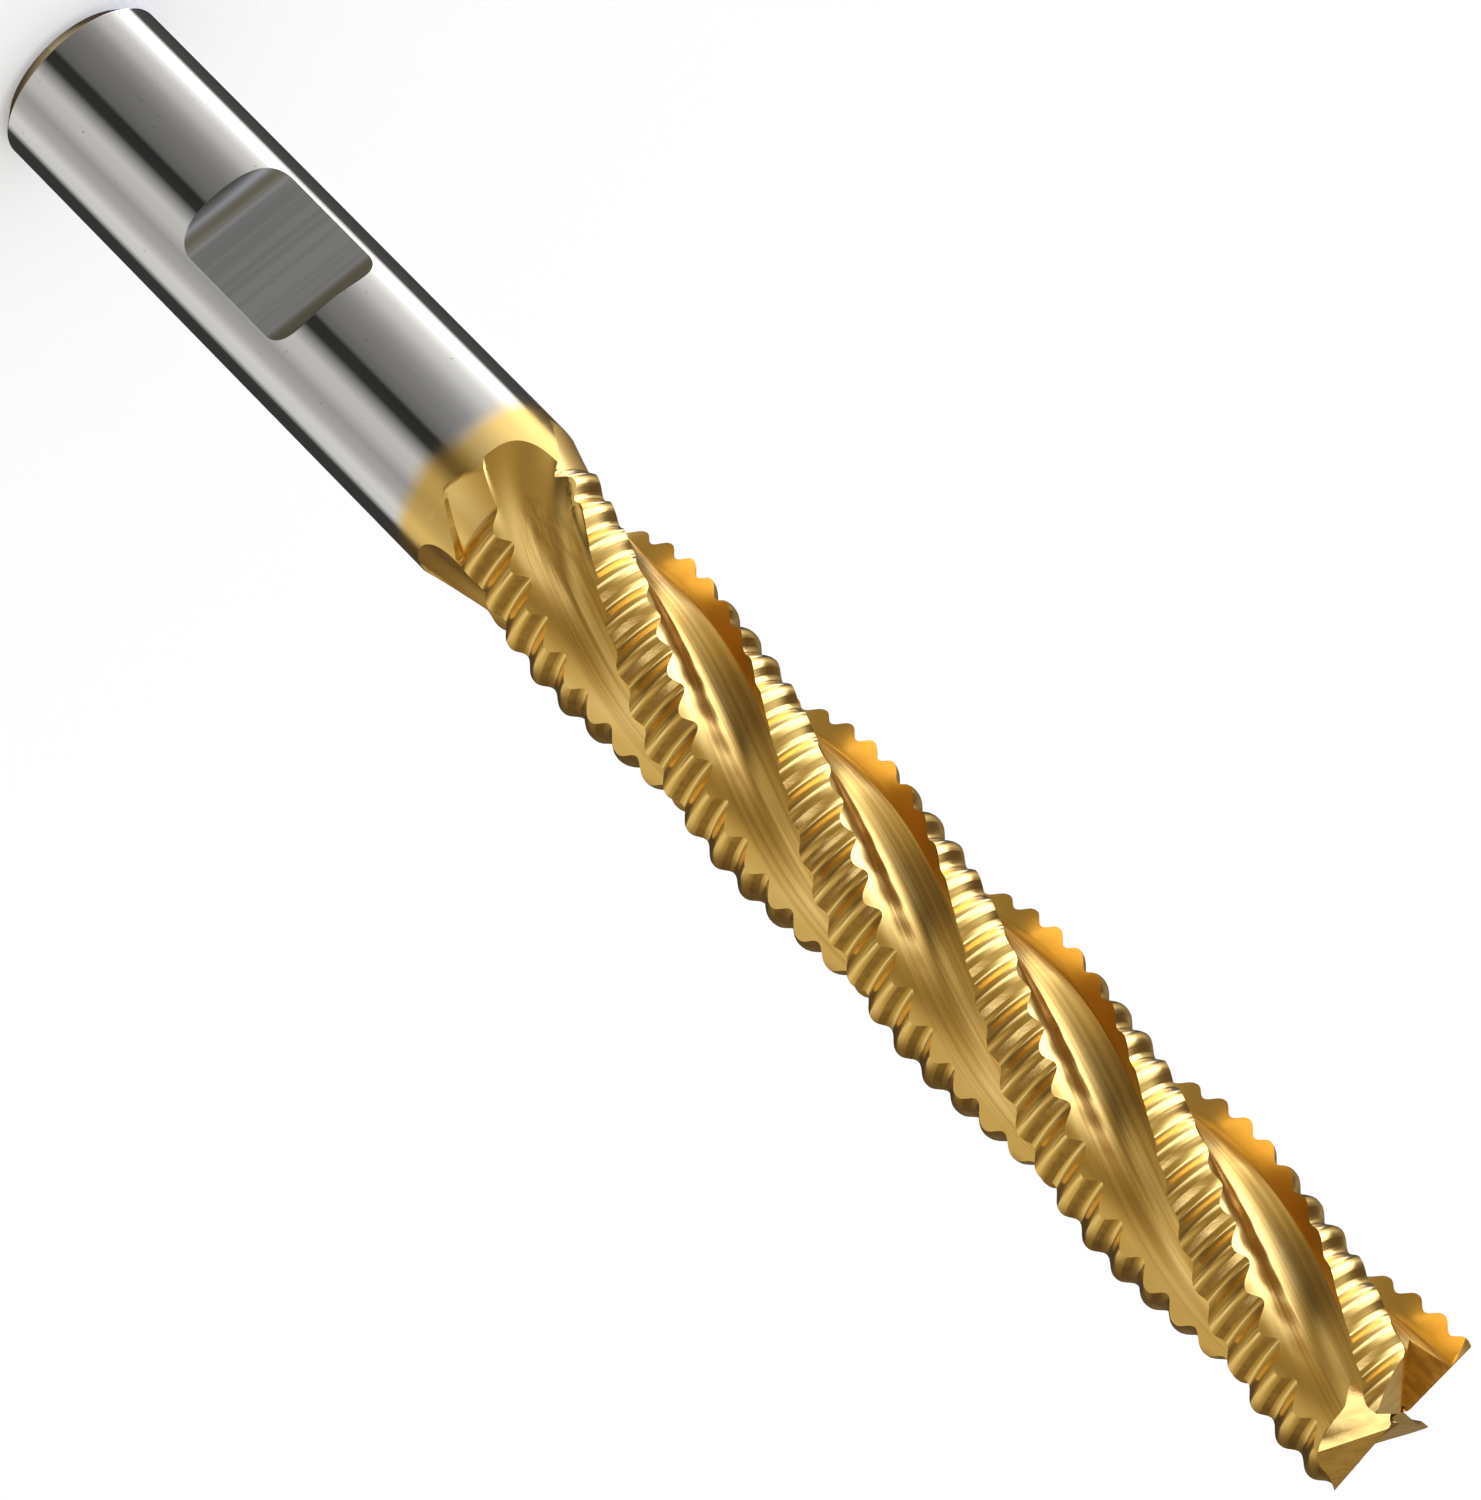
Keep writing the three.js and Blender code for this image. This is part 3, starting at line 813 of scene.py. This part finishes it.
class ENDMILL_OT_stage(bpy.types.Operator):
    """Build the pale floor, the studio light and the camera"""

    bl_idname = "endmill.stage"
    bl_label = "Build Stage"

    def execute(self, context):
        self.floor(context.scene.endmill_finish)
        self.surroundings(context.scene)
        self.camera(context.scene)
        context.scene.view_settings.view_transform = "Standard"
        return {"FINISHED"}

    def floor(self, finish):
        """A large sheet of pale paper that shades nothing and isn't seen in the metal."""
        material = bpy.data.materials.new("floor_paper")
        material.use_nodes = True
        shader = material.node_tree.nodes["Principled BSDF"]
        shader.inputs["Base Color"].default_value = four(finish.floor)
        shader.inputs["Roughness"].default_value = 0.9
        shader.inputs["Specular IOR Level"].default_value = 0.0
        reach = 4.0
        corners = [(-reach, -reach, 0), (reach, -reach, 0), (reach, reach, 0), (-reach, reach, 0)]
        piece = new_piece("floor", corners, [[0, 1, 2, 3]], [material])
        piece.visible_glossy = False
        piece.visible_shadow = False

    def surroundings(self, scene):
        """Studio light from all round: rings of soft light and shade, one above another, seen in the metal.

        Plain surfaces and the camera see even white.
        """
        world = bpy.data.worlds.new("studio")
        scene.world = world
        world.use_nodes = True
        tree = world.node_tree
        tree.nodes.clear()
        direction = tree.nodes.new("ShaderNodeTexCoord").outputs["Generated"]
        parts = add(tree, "ShaderNodeSeparateXYZ", {0: direction})
        azimuth = calc(tree, "ARCTAN2", parts.outputs[1], parts.outputs[0])
        facing = CAMERA_AZIMUTH - math.pi / 2
        around = calc(tree, "SUBTRACT", facing + 3 * math.pi, azimuth)
        share = calc(tree, "FRACT", calc(tree, "DIVIDE", around, math.tau))
        height = calc(tree, "ARCSINE", parts.outputs[2])
        seen = below = None
        for level, stops in LIGHT_RINGS:
            ramp = add(tree, "ShaderNodeValToRGB", {0: share})
            self.fill_ramp(ramp.color_ramp, stops)
            if seen is None:
                seen = ramp.outputs[0]
            else:
                past = add(tree, "ShaderNodeMapRange", {0: height, 1: below * DEG, 2: level * DEG}).outputs[0]
                seen = mix_colour(tree, past, seen, ramp.outputs[0])
            below = level
        lit = add(tree, "ShaderNodeBackground", {"Color": seen, "Strength": 1.0})
        even = add(tree, "ShaderNodeBackground", {"Color": (1, 1, 1, 1), "Strength": 1.04})
        path = tree.nodes.new("ShaderNodeLightPath")
        both = add(
            tree, "ShaderNodeMixShader", {0: path.outputs["Is Glossy Ray"], 1: even.outputs[0], 2: lit.outputs[0]}
        )
        out = tree.nodes.new("ShaderNodeOutputWorld")
        tree.links.new(both.outputs[0], out.inputs[0])

    def fill_ramp(self, ramp, stops):
        """One ring's stops as colours round the ramp; the shank's rings are nearly neutral."""
        ramp.interpolation = "LINEAR"
        while len(ramp.elements) > 1:
            ramp.elements.remove(ramp.elements[-1])
        for k, (around, level) in enumerate(stops):
            position = (around + 180) / 360
            stop = ramp.elements[0] if k == 0 else ramp.elements.new(position)
            stop.position = position
            green, blue = (0.99, 0.97) if stops in (SHANK_RING, SHANK_FRONT_RING) else self.tint(level)
            stop.color = (level, level * green, level * blue, 1)

    def tint(self, level):
        """Green and blue as shares of red: shade is warm and bright light is cool."""
        return min(1.08, 0.68 + 0.42 * level), min(1.5, max(0.45, 1.3 * level))

    def camera(self, scene):
        """A long lens that looks at the middle of the tool, rolled so that the bar lies across the picture."""
        data = bpy.data.cameras.new("camera")
        data.lens = CAMERA_LENS
        data.sensor_width = 36
        data.clip_start = 0.01
        data.clip_end = 50
        camera = bpy.data.objects.new("camera", data)
        scene.collection.objects.link(camera)
        scene.camera = camera
        a, e = CAMERA_AZIMUTH, CAMERA_ELEVATION
        back = Vector((math.sin(a) * math.cos(e), -math.cos(a) * math.cos(e), math.sin(e)))
        upright = (Vector((0, 0, 1)) - back * back.z).normalized()
        left = back.cross(upright)
        up = upright * math.cos(CAMERA_ROLL) + left * math.sin(CAMERA_ROLL)
        right = up.cross(back)
        turn = Matrix((right, up, back)).transposed().to_4x4()
        camera.matrix_world = Matrix.Translation(Vector((0, 0, AIM_HEIGHT)) + back * CAMERA_DISTANCE) @ turn


# A ring of light is a list of (degrees round from the camera, brightness). The two rings that the shank mirrors
# are the same on its dark side.
SHANK_SIDE = [
    (-180, 0.04), (-126, 0.04), (-114, 0.72), (-96, 0.78), (-80, 0.48), (-62, 0.38), (-46, 0.6), (-32, 0.64),
    (-20, 0.3), (-11, 0.03), (2, 0.023),
]
SHANK_RING = SHANK_SIDE + [
    (6, 0.115), (20, 0.15), (36, 0.167), (48, 0.23), (58, 0.29), (70, 0.52),
    (84, 0.69), (95, 1.09), (104, 1.9), (116, 1.9), (126, 0.08), (180, 0.04),
]
SHANK_FRONT_RING = SHANK_SIDE + [
    (6, 0.15), (20, 0.22), (36, 0.28), (48, 0.36), (58, 0.5), (70, 0.7),
    (84, 0.9), (95, 1.2), (104, 1.9), (116, 1.9), (126, 0.08), (180, 0.04),
]
NECK_RING = [
    (-180, 0.08), (-150, 0.1), (-128, 0.1), (-112, 0.5), (-95, 0.74), (-66, 0.72), (-50, 0.34), (-30, 0.24),
    (-10, 0.24), (10, 0.5), (24, 1.2), (55, 2.2), (90, 2.6), (112, 1.4), (132, 0.5), (155, 0.2), (180, 0.08),
]
LOW_RING = [
    (-180, 0.06), (-150, 0.05), (-120, 0.08), (-92, 0.4), (-70, 0.36), (-30, 0.24), (-12, 0.12), (30, 0.17),
    (50, 0.34), (68, 0.5), (90, 0.7), (110, 1.4), (130, 2.2), (144, 2.0), (152, 0.08), (180, 0.06),
]
# The rings from the lowest to the highest, each with its height in degrees.
LIGHT_RINGS = [
    (-82, [(-180, 0.4), (-75, 0.5), (-50, 0.3), (-20, 0.1), (10, 0.2), (60, 0.3), (180, 0.4)]),
    (-67, [(-180, 0.3), (-120, 0.15), (-90, 0.25), (-60, 0.3), (-10, 0.22), (30, 0.28), (75, 0.26), (92, 0.32),
           (110, 0.7), (140, 0.4)]),
    (-52, [(-180, 0.08), (-130, 0.1), (-100, 0.22), (-60, 0.34), (-35, 0.34), (-14, 0.1), (10, 0.14), (30, 0.2),
           (50, 0.3), (70, 0.4), (88, 0.5), (110, 1.3), (130, 2.0), (142, 1.6), (152, 0.1), (180, 0.08)]),
    (-38, LOW_RING),
    (-31, LOW_RING),
    (-28.5, SHANK_RING),
    (-22, SHANK_FRONT_RING),
    (-19.5, NECK_RING),
    (-16, NECK_RING),
    (-8, [(-180, 0.1), (-140, 0.09), (-118, 0.25), (-94, 0.75), (-54, 0.85), (-42, 0.4), (-28, 0.24), (4, 0.3),
          (26, 0.5), (44, 1.3), (64, 3.0), (112, 3.4), (126, 0.8), (150, 0.3), (175, 0.1)]),
    (7, [(-180, 0.4), (-150, 0.1), (-116, 0.2), (-96, 0.6), (-60, 0.75), (-32, 1.1), (-14, 0.6), (6, 0.26),
         (30, 0.25), (50, 0.4), (68, 1.1), (90, 3.0), (114, 3.8), (122, 0.15), (150, 0.12), (166, 0.5), (180, 0.5)]),
    (22, [(-180, 0.08), (-130, 0.08), (-112, 0.3), (-95, 0.45), (-30, 0.46), (-10, 0.62), (8, 0.5), (26, 0.26),
          (50, 0.35), (70, 0.9), (88, 2.2), (105, 2.2), (120, 0.12), (150, 0.08), (170, 0.4), (180, 0.2)]),
    (37, [(-180, 0.1), (-120, 0.14), (-95, 0.3), (-80, 0.33), (-50, 0.36), (-20, 0.26), (30, 0.24), (52, 0.36), (70, 0.6),
          (90, 0.9), (110, 0.9), (124, 0.2), (180, 0.1)]),
    (52, [(-180, 0.15), (-90, 0.2), (-50, 0.26), (-30, 0.24), (-10, 0.15), (20, 0.2), (50, 0.36), (72, 0.4),
          (100, 0.4), (140, 0.25)]),
    (66, [(-180, 0.42), (-120, 0.25), (-60, 0.25), (-10, 0.22), (14, 0.26), (24, 1.3), (56, 1.3), (70, 1.1),
          (100, 1.1), (140, 0.45)]),
    (78, [(-180, 0.5), (-60, 0.5), (20, 1.2), (60, 2.0), (110, 2.0), (150, 0.6)]),
]


class ENDMILL_PT_panel(bpy.types.Panel):
    """Lists the building steps and the sizes"""

    bl_label = "End Mill"
    bl_idname = "ENDMILL_PT_panel"
    bl_space_type = "VIEW_3D"
    bl_region_type = "UI"
    bl_category = "End Mill"

    def draw(self, context):
        for step in STEPS:
            self.layout.operator(step.bl_idname)
        for name in SETTINGS:
            column = self.layout.column()
            values = getattr(context.scene, name)
            for key in values.__annotations__:
                column.prop(values, key)


STEPS = (ENDMILL_OT_stage, ENDMILL_OT_shank, ENDMILL_OT_cutter)
SETTINGS = {
    "endmill_shank": ShankSizes,
    "endmill_cutter": CutterSizes,
    "endmill_end": EndSizes,
    "endmill_finish": Finish,
}
TOOLS = node_tools()


def register():
    for kind in (*SETTINGS.values(), *STEPS, ENDMILL_PT_panel):
        bpy.utils.register_class(kind)
    for name, kind in SETTINGS.items():
        setattr(bpy.types.Scene, name, bpy.props.PointerProperty(type=kind))


def unregister():
    for name in SETTINGS:
        delattr(bpy.types.Scene, name)
    for kind in reversed((*SETTINGS.values(), *STEPS, ENDMILL_PT_panel)):
        bpy.utils.unregister_class(kind)


def main():
    register()
    bpy.ops.endmill.stage()
    bpy.ops.endmill.shank()
    bpy.ops.endmill.cutter()


if __name__ == "__main__":
    main()
